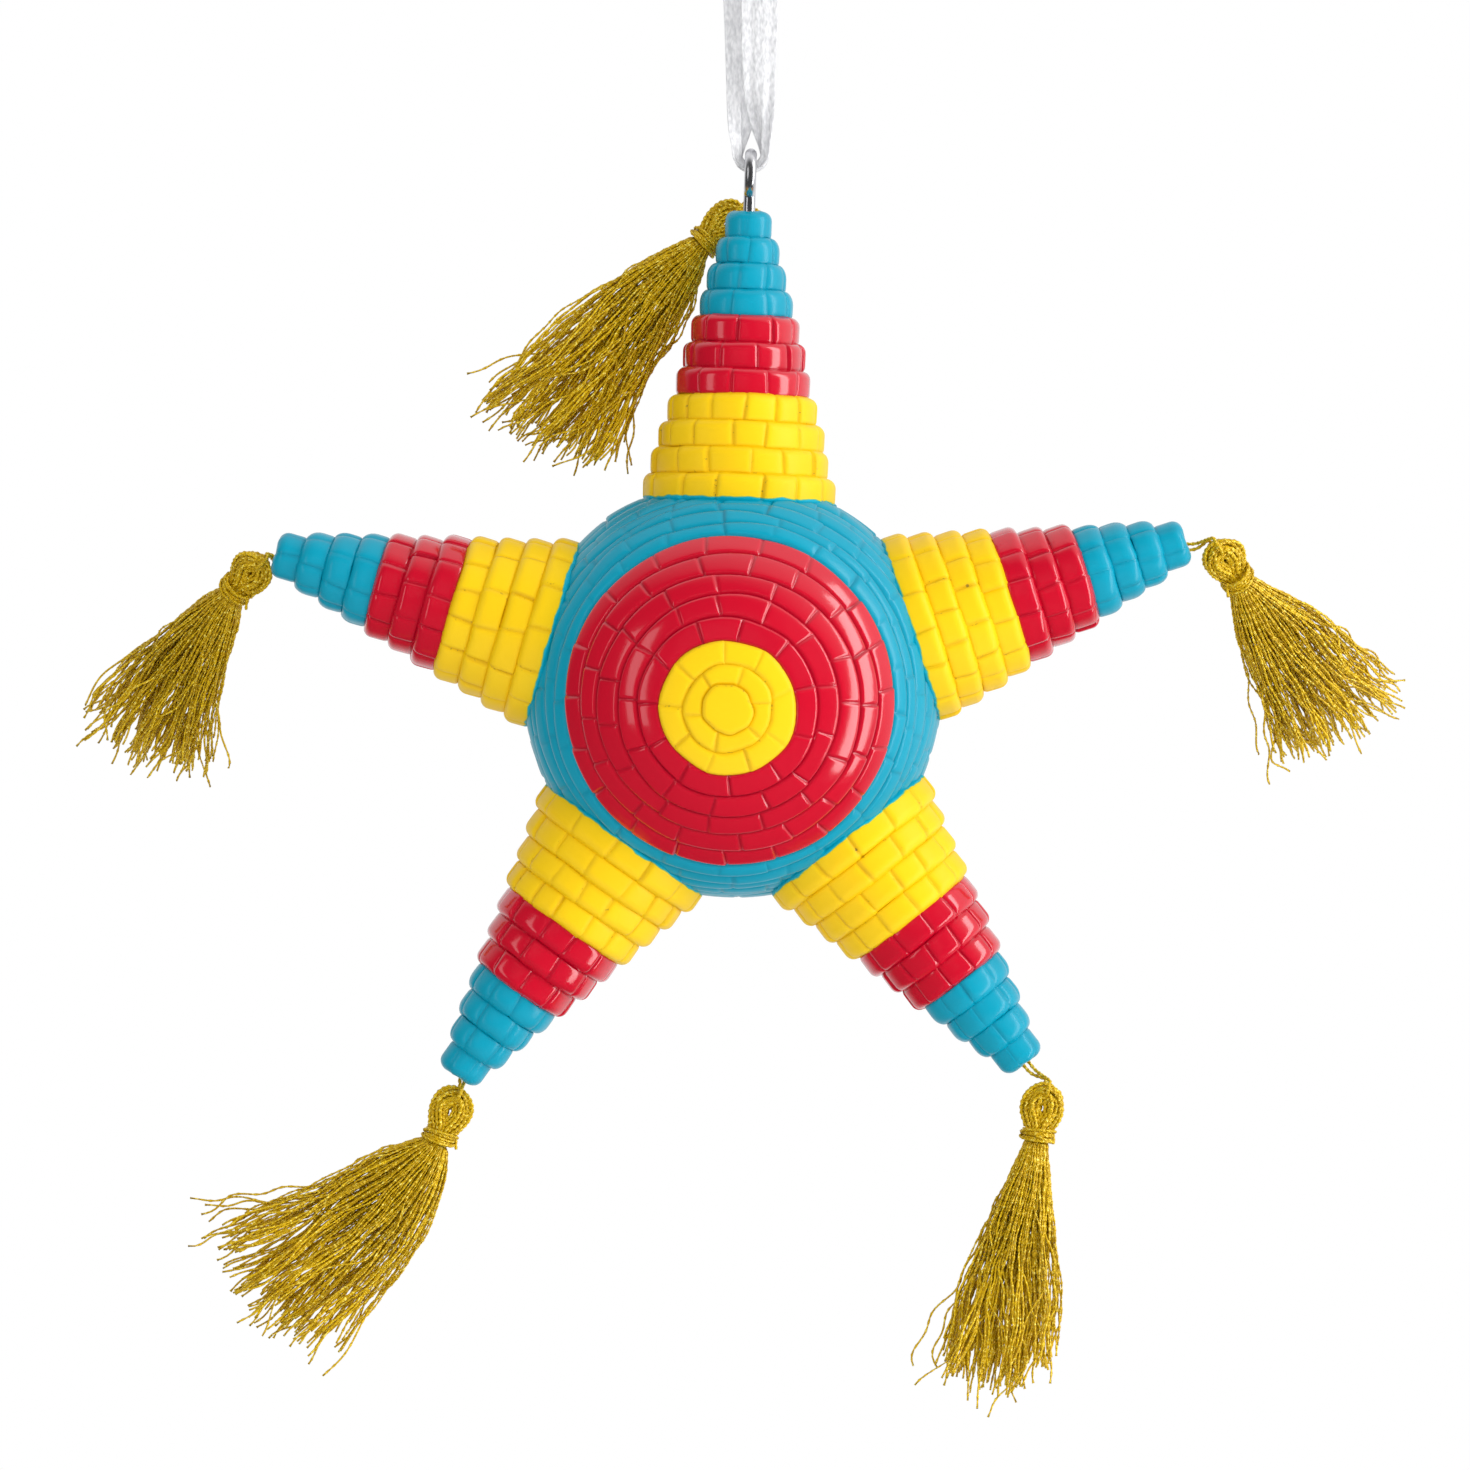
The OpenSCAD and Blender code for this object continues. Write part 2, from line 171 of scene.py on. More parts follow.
def resample(line, count):
    """The line again with a number of points at even steps."""
    step = np.linalg.norm(np.diff(line, axis=0), axis=1)
    along = np.concatenate([[0], np.cumsum(step)])
    at = np.linspace(0, along[-1], count)
    return np.stack([np.interp(at, along, line[:, k]) for k in range(3)], axis=1)


def star_basis(direction):
    """Across, in depth and along, for a direction in the star's plane."""
    return np.array([[direction[2], 0, -direction[0]], Y, direction])


def point_of(name):
    return np.array(JOINTS[name]["pos_m"], float)


def node_points(name):
    mesh = frame["nodes"][name].data
    flat = np.zeros(len(mesh.vertices) * 3, np.float32)
    mesh.vertices.foreach_get("co", flat)
    return flat.reshape(-1, 3).astype(float)


# ---- places that the frame gives ----

ball_low, ball_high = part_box("ball_back")
BALL_R = (ball_high.x - ball_low.x) / 2
# The top cone's hole cuts the ball's highest point away, so its centre is taken from its lowest
CENTRE = np.array([(ball_low.x + ball_high.x) / 2, 0, ball_low.z + BALL_R])
SWING = point_of("star_swing")
IN_STAR = np.array([1, 0, 1])
TIP_DIST = float(np.linalg.norm((point_of("left_loop_swing") - CENTRE) * IN_STAR)) + TIE_INSET


class Side:
    """One tip of the star: its cone's direction, and where its tassel hangs."""

    def __init__(self, name):
        self.name = name
        self.tie = point_of(name + "_loop_swing") * IN_STAR
        self.bundle = point_of(name + "_tassel_tilt")
        self.cone = unit(self.tie - CENTRE)
        tilt_axis = np.array(JOINTS[name + "_tassel_tilt"]["axis"], float)
        self.head = np.array([tilt_axis[2], 0, -tilt_axis[0]])
        reach = (self.bundle - self.tie) * IN_STAR
        self.reach = float(np.linalg.norm(reach))
        self.loop = unit(reach)
        self.back = float(self.bundle[1])
        self.set_tassel_frame()

    def set_tassel_frame(self):
        """The tassel's own axes, its binding's extent and its skirt's far end."""
        side, _, down = star_basis(self.head)
        lean = math.radians(LEAN_BACK.get(self.name, 0))
        along = math.cos(lean) * down + math.sin(lean) * Y
        self.axes = np.array([side, math.cos(lean) * Y - math.sin(lean) * down, along])
        wrap = self.local(node_points(self.name + "_tassel_binding"))
        self.wrap_start = float(wrap[:, 2].min())
        self.wrap_end = float(wrap[:, 2].max())
        self.wrap_r = float(np.abs(wrap[:, 0]).max())
        head_angle = math.atan2(self.head[2], self.head[0]) % (2 * math.pi)
        bend = head_angle - math.radians(SKIRTS[self.name].angle)
        way = np.array([math.sin(bend), 0, math.cos(bend)])
        self.skirt_end = np.array([0, 0, self.wrap_end]) + SKIRT_LEN * way

    def local(self, points):
        return (points - self.bundle) @ self.axes.T

    def world(self, points):
        """Points given across, in depth and along the tassel, in the row frame."""
        return points @ self.axes + self.bundle


# ---- meshes ----

def make_piece(name, points, faces, paints, body, nodes=(), marks=None, which=None):
    """A smooth mesh that rides on a body. marks are point attributes, and which is each face's paint."""
    mesh = bpy.data.meshes.new(name)
    mesh.from_pydata(points.tolist(), [], faces)
    mesh.shade_smooth()
    for mark, values in (marks or {}).items():
        layer = mesh.attributes.new(mark, "FLOAT", "POINT")
        layer.data.foreach_set("value", np.asarray(values, np.float32).ravel())
    for paint in paints:
        mesh.materials.append(paint)
    if which is not None:
        mesh.polygons.foreach_set("material_index", np.asarray(which, np.int32))
    mesh.update()
    piece = bpy.data.objects.new(name, mesh)
    bpy.context.scene.collection.objects.link(piece)
    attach(piece, body)
    if nodes:
        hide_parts(*nodes)
    return piece


def tube_faces(count, rings, sides):
    """Quads along a number of tubes, and a face over each end."""
    t, i, k = np.meshgrid(np.arange(count), np.arange(rings - 1), np.arange(sides), indexing="ij")
    here = (t * rings + i) * sides
    after = (k + 1) % sides
    quads = np.stack([here + k, here + after, here + sides + after, here + sides + k], axis=-1)
    starts = np.arange(count)[:, None] * rings * sides
    first = starts + np.arange(sides)[::-1]
    last = starts + (rings - 1) * sides + np.arange(sides)
    return quads.reshape(-1, 4).tolist() + first.tolist() + last.tolist()


def threads(paths, half_w, half_h, pitch, wide, sides):
    """Points and marks of twisted oval threads. paths is threads by steps by 3, in the row frame."""
    count, rings = paths.shape[:2]
    along = heading(paths)
    x = across(np.broadcast_to(wide, paths.shape), along)
    y = np.cross(along, x)
    run = np.linalg.norm(np.diff(paths, axis=1, prepend=paths[:, :1]), axis=2).cumsum(1)
    turn = 2 * math.pi * run / pitch + np.arange(count)[:, None] * 2.4
    angle = 2 * math.pi * np.arange(sides) / sides
    u, v = half_w * np.cos(angle), half_h * np.sin(angle)
    c, s = np.cos(turn)[:, :, None], np.sin(turn)[:, :, None]
    points = (
        paths[:, :, None, :]
        + (u * c - v * s)[..., None] * x[:, :, None, :]
        + (u * s + v * c)[..., None] * y[:, :, None, :]
    )
    tone = np.random.default_rng(count).uniform(0, 1, count)
    marks = {"tone": np.repeat(tone, rings * sides)}
    return points.reshape(-1, 3), tube_faces(count, rings, sides), marks


def joined(parts):
    """Several (points, faces, marks) as one."""
    points, faces, marks, start = [], [], {}, 0
    for some_points, some_faces, some_marks in parts:
        points.append(some_points)
        faces += [[start + k for k in face] for face in some_faces]
        for mark, values in some_marks.items():
            marks.setdefault(mark, []).append(values)
        start += len(some_points)
    return np.concatenate(points), faces, {m: np.concatenate(v) for m, v in marks.items()}


# ---- bricks ----

class Bricks:
    """One course of bricks round an axis: where its columns of points lie, and how each brick sits."""

    # Places of the columns within a brick, close together at the joints
    COLUMNS = np.array([0, 0.02, 0.045, 0.08, 0.14, 0.26, 0.42, 0.58, 0.74, 0.86, 0.92, 0.955, 0.98])

    def __init__(self, count, radius, draw):
        share = 1 + 0.16 * draw.uniform(-1, 1, count)
        edges = np.concatenate([[0], np.cumsum(share / share.sum())]) + draw.uniform()
        width = np.diff(edges)
        self.angle = 2 * math.pi * (edges[:-1, None] + width[:, None] * self.COLUMNS).ravel()
        self.place = np.tile(self.COLUMNS, count)
        self.gap = np.minimum(self.place, 1 - self.place) * (2 * math.pi * radius * self.each(width))
        # Each joint has its own firmness and its own slant, which its two bricks share
        firm = draw.uniform(0.4, 1, count)
        slant = draw.uniform(-1, 1, count)
        self.firm = np.where(self.place < 0.5, self.each(firm), self.each(np.roll(firm, -1)))
        here, after = self.each(slant), self.each(np.roll(slant, -1))
        self.slant = here + (after - here) * self.place
        self.half = math.pi * self.each(width)
        self.off = 2 * math.pi * self.each(width) * (self.place - 0.5)
        self.tone = self.each(draw.uniform(0, 1, count))
        self.lift = self.each(draw.uniform(-1, 1, count))
        self.lean = self.each(draw.uniform(-1, 1, count)) * (self.place - 0.5)

    def each(self, values):
        """Each brick's value, at each of its columns."""
        return np.repeat(values, len(self.COLUMNS))

    def fuse(self, columns):
        """One round brick without joints across it."""
        self.angle = np.linspace(0, 2 * math.pi, columns, endpoint=False)
        self.gap = np.full(columns, BALL_R)
        for mark in ("firm", "tone", "lift", "lean"):
            setattr(self, mark, np.full(columns, 0.5))


def dip(distance, reach):
    """How deep a joint is, from 1 in its middle to 0 past its reach, with a round shoulder."""
    t = np.clip(1 - distance / reach, 0, 1)
    return t * t * (3 - 2 * t)


def course_faces(columns, rows):
    """Quads of a closed ring whose section is closed too."""
    i, j = np.meshgrid(np.arange(columns), np.arange(rows), indexing="ij")
    right, up = (i + 1) % columns, (j + 1) % rows
    quads = np.stack([i * rows + j, right * rows + j, right * rows + up, i * rows + up], axis=-1)
    return quads.reshape(-1, 4)


def capped_faces(columns, rows):
    """Faces of a round cap: quads between its columns, a fan at the pole and a face underneath."""
    i, j = np.meshgrid(np.arange(columns), np.arange(rows - 1), indexing="ij")
    right = (i + 1) % columns
    quads = np.stack([i * rows + j, right * rows + j, right * rows + j + 1, i * rows + j + 1], axis=-1)
    pole = columns * rows
    fan = [[pole, ((c + 1) % columns) * rows, c * rows] for c in range(columns)]
    under = [[c * rows + rows - 1 for c in range(columns)]]
    return quads.reshape(-1, 4).tolist() + fan + under


def closed(points, marks, columns, rows, pole=None):
    """A course's points, faces and marks: a closed ring, or a round cap where it has a pole."""
    if pole is None:
        return points, course_faces(columns, rows).tolist(), marks
    at_pole = {"tone": 0.5}
    marks = {mark: np.append(values, at_pole.get(mark, 0)) for mark, values in marks.items()}
    return np.concatenate([points, [pole]]), capped_faces(columns, rows), marks


def painted(courses):
    """Several (paint, course) as one, with the paint of each face."""
    which = []
    for paint, (_, faces, _) in courses:
        which += [paint] * len(faces)
    points, faces, marks = joined([course for _, course in courses])
    return points, faces, marks, which


def wobble(angle, draw, size):
    """A hand-made line's slow wave round the axis."""
    first, second, third = draw.uniform(0, 2 * math.pi, 3)
    wave = np.sin(2 * angle + first) + 0.6 * np.sin(5 * angle + second)
    return size * (wave + 0.35 * np.sin(9 * angle + third))


YELLOW, RED, BLUE = range(3)

# For yellow, red and blue bricks: the depth and the reach of their joints, how much each bulges and
# tilts, how evenly their cross joints are cut (0 is all alike), and the share of depth along a course
JOINT_DEPTH = [0.21 * MM, 0.22 * MM, 0.17 * MM]
JOINT_REACH = [0.36 * MM, 0.27 * MM, 0.48 * MM]
BULGE = [0.12 * MM, 0.09 * MM, 0.16 * MM]
TILT = [0.10 * MM, 0.14 * MM, 0.42 * MM]
UNLIKE = [1, 0.3, 1]
ALONG_DEPTH = [0.7, 1, 1]

# A row's round shoulder on a cone, across and along, for each paint and for the tip
SHOULDER = [(0.70 * MM, 1.0 * MM), (0.66 * MM, 0.9 * MM), (0.78 * MM, 1.45 * MM)]
TIP_SHOULDER = (1.2 * MM, 1.1 * MM)

# Places across a course of the ball, and across the round brick at its pole
ACROSS = np.array([0, 0.025, 0.06, 0.11, 0.18, 0.32, 0.5, 0.68, 0.82, 0.89, 0.94, 0.975, 1])
ACROSS_CAP = np.array([0.12, 0.3, 0.5, 0.68, 0.82, 0.89, 0.94, 0.975, 1])
CAP_COLUMNS = 48

# A row's section on a cone: degrees round its shoulder, then shares of the way down its outer face
SHOULDER_TURN = np.radians([4, 18, 32, 46, 60, 75, 90])
FACE_DOWN = np.array([0.15, 0.4, 0.65, 0.83, 0.93, 0.98, 1])


def ball_paint(course):
    return YELLOW if course < BALL_YELLOW else RED if course < BALL_RED else BLUE


def ball_edge(number, columns, seed):
    """The polar angle of an edge between two courses. The pole and the rim don't wave."""
    size = (0.11 if number <= BALL_RED else 0.22) * MM / BALL_R
    waves = 0 < number < len(BALL_EDGES) - 1
    wave = wobble(columns, np.random.default_rng(seed), size)
    return math.radians(BALL_EDGES[number]) + wave * waves


def ball_course(course, pole, seeds, draw):
    """One course of bricks round the ball's pole, where the first is a round cap."""
    paint = ball_paint(course)
    is_cap = BALL_BRICKS[course] == 1
    low, high = (math.radians(a) for a in BALL_EDGES[course : course + 2])
    course_r = BALL_R * math.sin((low + high) / 2)
    bricks = Bricks(BALL_BRICKS[course], course_r, draw)
    if is_cap:
        bricks.fuse(CAP_COLUMNS)
    inner, outer = (ball_edge(k, bricks.angle, seeds[k]) for k in (course, course + 1))
    share = ACROSS_CAP if is_cap else ACROSS
    span = (outer - inner)[:, None]
    theta = inner[:, None] + span * share
    border = np.minimum(1 if is_cap else share, 1 - share) * span * BALL_R
    joint = np.maximum(
        dip(bricks.gap[:, None], JOINT_REACH[paint]) * bricks.firm[:, None] ** UNLIKE[paint],
        dip(border, JOINT_REACH[paint]) * ALONG_DEPTH[paint])
    bulge = BULGE[paint] * (np.ones_like(share) if is_cap else 1 - (2 * share - 1) ** 4)
    lump = wobble(bricks.angle, draw, 0.11 * MM)[:, None] * (paint == BLUE)
    radius = (
        BALL_R - 0.1 * MM + lump - JOINT_DEPTH[paint] * joint + bulge + TILT[paint] * (share - 0.5)
        + 0.06 * MM * bricks.lift[:, None] + 0.20 * MM * bricks.lean[:, None])
    # Walls close it on both sides and meet inside the shell
    under = np.stack([outer] if is_cap else [outer, inner], axis=1)
    theta = np.concatenate([theta, under], axis=1)
    radius = np.concatenate([radius, np.full(under.shape, BALL_R - SHELL)], axis=1)
    joint = np.concatenate([joint, np.ones(under.shape)], axis=1)
    slant = 0 if is_cap else 0.22 * MM / course_r * bricks.slant[:, None]
    around = bricks.angle[:, None] + slant * (2 * (theta - low) / (high - low) - 1)
    right = across(X, pole)
    ring = np.cos(around)[..., None] * right + np.sin(around)[..., None] * np.cross(pole, right)
    way = np.sin(theta)[..., None] * ring + np.cos(theta)[..., None] * pole
    points = (radius[..., None] * way).reshape(-1, 3)
    # The joint mark carries the paints' painted shade in the joints between bricks and between courses.
    marks = {"tone": np.repeat(bricks.tone, theta.shape[1]), "joint": joint.ravel()}
    top = radius[0, 0] * pole if is_cap else None
    points, faces, marks = closed(points, marks, *theta.shape, top)
    return points + CENTRE, faces, marks


def ball_half(front, draw):
    """The front or the back half of the ball, as courses of bricks round its pole."""
    sign = -1 if front else 1
    pole = unit(sign * np.array([math.sin(POLE_LEFT), math.cos(POLE_LEFT), 0]))
    pole = unit(pole + sign * math.tan(POLE_DOWN) * Z)
    seeds = [draw.integers(1 << 30) for _ in BALL_EDGES]
    courses = range(len(BALL_BRICKS))
    return painted([(ball_paint(k), ball_course(k, pole, seeds, draw)) for k in courses])


def cone_paint(row):
    return BLUE if row < CONE_BLUE else RED if row < CONE_RED else YELLOW


def cone_section(radius, top, height, paint, is_tip):
    """A row's section, out and along, and how much of each point's way out is the outer face's."""
    soft_r, soft_z = TIP_SHOULDER if is_tip else SHOULDER[paint]
    ledge = radius - soft_r
    start_r = [radius * 0.2, radius * 0.4] if is_tip else [ledge - 0.5 * MM, ledge - 0.2 * MM]
    start_z = [top - 0.04 * MM, top - 0.02 * MM] if is_tip else [top + 0.32 * MM, top + 0.10 * MM]
    shoulder_r = radius - soft_r * (1 - np.sin(SHOULDER_TURN))
    shoulder_z = top - soft_z * (1 - np.cos(SHOULDER_TURN))
    section_r = np.concatenate([start_r, shoulder_r, np.full(len(FACE_DOWN), radius)])
    section_z = np.concatenate([start_z, shoulder_z, top - soft_z - FACE_DOWN * (height - soft_z)])
    face = np.concatenate([[0, 0], np.sin(SHOULDER_TURN), np.ones(len(FACE_DOWN))])
    return section_r, section_z, face


def cone_row(row, side, base_r, draw):
    """One row of bricks round a cone, where the tip's is a round cap."""
    count = len(CONE_BRICKS)
    height = (TIP_DIST - math.sqrt(BALL_R**2 - base_r**2)) / count
    step = (base_r - TIP_R) / (count - 1)
    radius, top = TIP_R + row * step, TIP_DIST - row * height
    low = top - height
    paint = cone_paint(row)
    is_tip = row == 0
    bricks = Bricks(CONE_BRICKS[row], radius, draw)
    section_r, section_z, face = cone_section(radius, top, height, paint, is_tip)
    foot = dip(section_z - low, 0.32 * MM)
    gap = dip(bricks.gap[:, None], JOINT_REACH[paint] * 1.15) * bricks.firm[:, None]
    puff = 1 - np.abs(2 * bricks.place[:, None] - 1) ** 3
    flat = np.cos(bricks.half)[:, None] / np.cos(bricks.off)[:, None]
    flat = 1 + 0.22 * (flat / flat.mean() - 1)
    swell = 0.12 * MM * (1 - np.concatenate([[-1, -1], np.linspace(-1, 1, 14)]) ** 2)
    # The tip stays even and inside its size, so that the tassel swings clear of it
    uneven = 0.3 if is_tip else 0.75 if paint == BLUE else 1
    r = section_r * flat + face * (
        -JOINT_DEPTH[paint] * np.maximum(gap * uneven, 0.35 * foot) + swell * (not is_tip)
        + BULGE[paint] * (puff - 1) * uneven - 0.1 * MM * is_tip
        + uneven * MM * (0.11 * bricks.lift[:, None] + 0.30 * bricks.lean[:, None]))
    rise = wobble(bricks.angle, draw, 0.09 * MM)[:, None]
    z = section_z + rise * 0.6 + (0.06 * MM * bricks.lift[:, None] - 0.10 * MM * gap) * (1 - face)
    # The joint mark carries the paints' painted shade: in the joints and in the crevice under the row's
    # lower edge.
    joint = np.maximum(gap, 0.5 * foot) * face
    # Under its lower edge it turns inward, and all but the tip come back up to close
    tail_z = [low] if is_tip else [low, top - 0.35 * MM]
    if row == count - 1:
        r = np.concatenate([r, r[:, -1:] - 0.5 * MM], axis=1)
        tail_z = [low - SINK, low - SINK, top - 0.35 * MM]
    columns = len(r)
    tail_r = np.full((columns, 1 if is_tip else 2), max(radius - 2.2 * MM, 0.3 * MM))
    r = np.concatenate([r, tail_r], axis=1)
    z = np.concatenate([z, np.tile(tail_z, (columns, 1))], axis=1)
    joint = np.concatenate([joint, np.ones((columns, len(tail_z)))], axis=1)
    # Seen from the tip, the columns run clockwise, so that the faces look outward
    up = np.clip((z - low) / height, 0, 1)
    around = bricks.angle[:, None] + 0.16 * MM / radius * bricks.slant[:, None] * (2 * up - 1)
    points = np.stack([r * np.cos(around), -r * np.sin(around), z], axis=2).reshape(-1, 3)
    lap = np.clip(1 - (points[:, 2] - (TIP_DIST - count * height)) / (0.9 * MM), 0, 1)
    marks = {"tone": np.repeat(bricks.tone, r.shape[1]), "joint": joint.ravel(), "lap": lap}
    pole = [0, 0, top - 0.03 * MM] if is_tip else None
    points, faces, marks = closed(points, marks, *r.shape, pole)
    return points @ star_basis(side.cone) + CENTRE, faces, marks


def cone_rows(side, base_r, draw):
    """A stepped cone of rows of bricks, from the tip down into the ball."""
    rows = range(len(CONE_BRICKS))
    return painted([(cone_paint(row), cone_row(row, side, base_r, draw)) for row in rows])


# ---- materials ----

class Paint:
    """A node material with a Principled shader, and short calls that add its nodes."""

    def __init__(self, name, **sockets):
        self.material = bpy.data.materials.new(name)
        self.material.use_nodes = True
        self.tree = self.material.node_tree
        self.shader = self.tree.nodes["Principled BSDF"]
        for socket, value in sockets.items():
            self.shader.inputs[socket.replace("_", " ")].default_value = value

    def add(self, kind, **settings):
        node = self.tree.nodes.new(kind)
        for setting, value in settings.items():
            setattr(node, setting, value)
        return node

    def link(self, source, target):
        self.tree.links.new(source, target)

    def feed(self, target, value):
        if isinstance(value, bpy.types.NodeSocket):
            self.link(value, target)
        else:
            target.default_value = value

    def mark(self, name):
        return self.add("ShaderNodeAttribute", attribute_name=name).outputs["Fac"]

    def math(self, operation, a, b=0.0, clamp=False):
        node = self.add("ShaderNodeMath", operation=operation, use_clamp=clamp)
        self.feed(node.inputs[0], a)
        self.feed(node.inputs[1], b)
        return node.outputs[0]

    def noise(self, scale, detail=3.0, stretch=(1, 1, 1)):
        """Noise in the object's own place, from 0 to 1. scale is in waves a metre."""
        place = self.add("ShaderNodeTexCoord").outputs["Object"]
        mapping = self.add("ShaderNodeMapping")
        mapping.inputs["Scale"].default_value = stretch
        self.link(place, mapping.inputs["Vector"])
        node = self.add("ShaderNodeTexNoise")
        node.inputs["Scale"].default_value = scale
        node.inputs["Detail"].default_value = detail
        self.link(mapping.outputs[0], node.inputs["Vector"])
        return node.outputs["Fac"]

    def mix(self, share, a, b):
        """A colour between a and b."""
        node = self.add("ShaderNodeMix", data_type="RGBA")
        self.feed(node.inputs["Factor"], share)
        self.feed(node.inputs["A"], a)
        self.feed(node.inputs["B"], b)
        return node.outputs["Result"]

    def steps(self, value, low, high):
        """The value stretched so that low gives 0 and high gives 1."""
        node = self.add("ShaderNodeMapRange")
        self.feed(node.inputs["Value"], value)
        node.inputs["From Min"].default_value = low
        node.inputs["From Max"].default_value = high
        return node.outputs["Result"]

    def bump(self, height, strength, distance):
        node = self.add("ShaderNodeBump")
        node.inputs["Strength"].default_value = strength
        node.inputs["Distance"].default_value = distance
        self.link(height, node.inputs["Height"])
        self.link(node.outputs["Normal"], self.shader.inputs["Normal"])

    def colour(self, socket):
        self.link(socket, self.shader.inputs["Base Color"])

    def rough(self, socket):
        self.link(socket, self.shader.inputs["Roughness"])


def rgb(red, green, blue):
    return (red, green, blue, 1.0)


def enamel(name, colour, deep, light, grain, stretch=(1, 1, 1), specks=0.0, **sockets):
    """Brushed paint over carved bricks: painted shade darkens the joints, and the paint is a little uneven
    from brick to brick.
    """
    paint = Paint(name, **sockets)
    cloud = paint.noise(240, 4)
    # Painted shade: where the joint mark is high, in the joints and under each cone row's edge, the colour
    # turns towards deep, unevenly by the cloud noise.
    joint_shade = paint.math("MULTIPLY", paint.mark("joint"), paint.steps(cloud, 0.2, 0.75), clamp=True)
    tone = paint.math("MULTIPLY", paint.mark("tone"), 0.45)
    body = paint.mix(tone, rgb(*colour), rgb(*light))
    shaded = paint.mix(joint_shade, body, rgb(*deep))
    if specks:
        spots = paint.steps(paint.noise(1900, 2), 0.66, 0.70)
        in_joints = paint.math("MULTIPLY", paint.mark("joint"), specks)
        spots = paint.math("MULTIPLY", spots, in_joints, clamp=True)
        shaded = paint.mix(spots, shaded, rgb(0.16, 0.10, 0.015))
    paint.colour(shaded)
    strokes = paint.math("ADD", paint.noise(grain, 5, stretch), paint.math("MULTIPLY", cloud, 0.8))
    paint.bump(strokes, 0.22, 0.12 * MM)
    return paint


def make_paints():
    # For each paint: its colour, the painted shade of its joints, and the lighter tone that some bricks
    # take.
    yellow = enamel(
        "yellow_paint", (0.80, 0.51, 0.001), (0.62, 0.35, 0.001), (0.83, 0.56, 0.001), 900, (1, 1, 3.5),
        specks=0.9, Roughness=0.46, Specular_IOR_Level=0.28)
    red = enamel(
        "red_enamel", (0.49, 0.002, 0.018), (0.34, 0.002, 0.016), (0.55, 0.003, 0.019), 420,
        Roughness=0.16, Specular_IOR_Level=0.5, Coat_Weight=0.5, Coat_Roughness=0.07)
    blue = enamel(
        "blue_enamel", (0.0, 0.27, 0.39), (0.0, 0.21, 0.31), (0.0, 0.30, 0.43), 380,
        Roughness=0.32, Specular_IOR_Level=0.26, Coat_Weight=0.15, Coat_Roughness=0.14)
    return [yellow.material, red.material, blue.material]


def lapped_yellow(paints):
    """The yellow of the cones, with the ball's blue brushed over the foot of the last row."""
    # Its second colour is the painted shade of the joints.
    paint = enamel(
        "yellow_paint_lapped", (0.80, 0.51, 0.001), (0.60, 0.33, 0.001), (0.83, 0.56, 0.001), 900,
        specks=0.9, Roughness=0.46, Specular_IOR_Level=0.28)
    base = paint.shader.inputs["Base Color"].links[0].from_socket
    ragged = paint.math("ADD", paint.mark("lap"), paint.math("MULTIPLY", paint.noise(420, 2), 0.9))
    green = paint.mix(paint.steps(ragged, 0.98, 1.1), base, rgb(0.10, 0.42, 0.12))
    paint.colour(paint.mix(paint.steps(ragged, 1.08, 1.18), green, rgb(0.0, 0.36, 0.50)))
    return [paint.material] + paints[1:]


def gold_thread(name, colour, dark):
    """Metallic thread with painted light: painted shade keeps it dull and dark between its plies, and
    painted glints stand where a ply would face the light.
    """
    paint = Paint(name, Metallic=0.25, Specular_IOR_Level=0.6)
    glint = paint.noise(3800, 2)
    tone = paint.math("MULTIPLY", paint.mark("tone"), 0.45)
    # Painted highlight: the colour lightens where the glint noise is high, over each thread's own random
    # tone.
    bright = paint.math("MULTIPLY", paint.steps(glint, 0.38, 0.62), 0.55)
    share = paint.math("ADD", tone, bright, clamp=True)
    body = paint.mix(share, rgb(*dark), rgb(*colour))
    # Painted glints: pale gold specks where the glint noise peaks.
    paint.colour(paint.mix(paint.steps(glint, 0.60, 0.66), body, rgb(1.0, 0.86, 0.18)))
    paint.rough(paint.math("ADD", paint.math("MULTIPLY", glint, 0.25), 0.20))
    paint.bump(glint, 0.8, 0.16 * MM)
    return paint.material


def satin_ribbon():
    """White synthetic ribbon: a fine bright weave that lets light through."""
    paint = Paint(
        "ribbon_satin", Roughness=0.38, Specular_IOR_Level=0.6, Sheen_Weight=0.3, Sheen_Roughness=0.4)
    weave = paint.noise(3400, 1, (1, 1, 0.42))
    thin = paint.noise(500, 3, (1, 1, 0.3))
    paint.colour(paint.mix(paint.steps(weave, 0.3, 0.7), rgb(0.60, 0.605, 0.62), rgb(0.90, 0.90, 0.91)))
    paint.bump(paint.math("ADD", weave, paint.math("MULTIPLY", thin, 0.3)), 1.0, 0.12 * MM)
    out = paint.tree.nodes["Material Output"]
    through = paint.add("ShaderNodeBsdfTranslucent")
    through.inputs["Color"].default_value = rgb(0.92, 0.92, 0.94)
    blend = paint.add("ShaderNodeMixShader")
    blend.inputs[0].default_value = 0.25
    paint.link(paint.shader.outputs[0], blend.inputs[1])
    paint.link(through.outputs[0], blend.inputs[2])
    paint.link(blend.outputs[0], out.inputs["Surface"])
    return paint.material


def bright_wire():
    """Nickel-plated wire with fine drawing marks."""
    paint = Paint("bright_wire", Metallic=1.0, Specular_IOR_Level=0.5)
    marks = paint.noise(900, 4, (1, 1, 0.15))
    paint.colour(paint.mix(paint.steps(marks, 0.3, 0.8), rgb(0.62, 0.62, 0.65), rgb(0.86, 0.86, 0.88)))
    paint.rough(paint.math("ADD", paint.math("MULTIPLY", marks, 0.15), 0.17))
    paint.bump(marks, 0.15, 0.05 * MM)
    return paint.material


def pale_floor():
    paint = Paint("pale_floor", Roughness=0.8)
    grain = paint.noise(60, 4)
    paint.colour(paint.mix(grain, rgb(0.88, 0.88, 0.88), rgb(0.92, 0.92, 0.92)))
    paint.bump(grain, 0.05, 0.2 * MM)
    return paint.material


# ---- camera ----

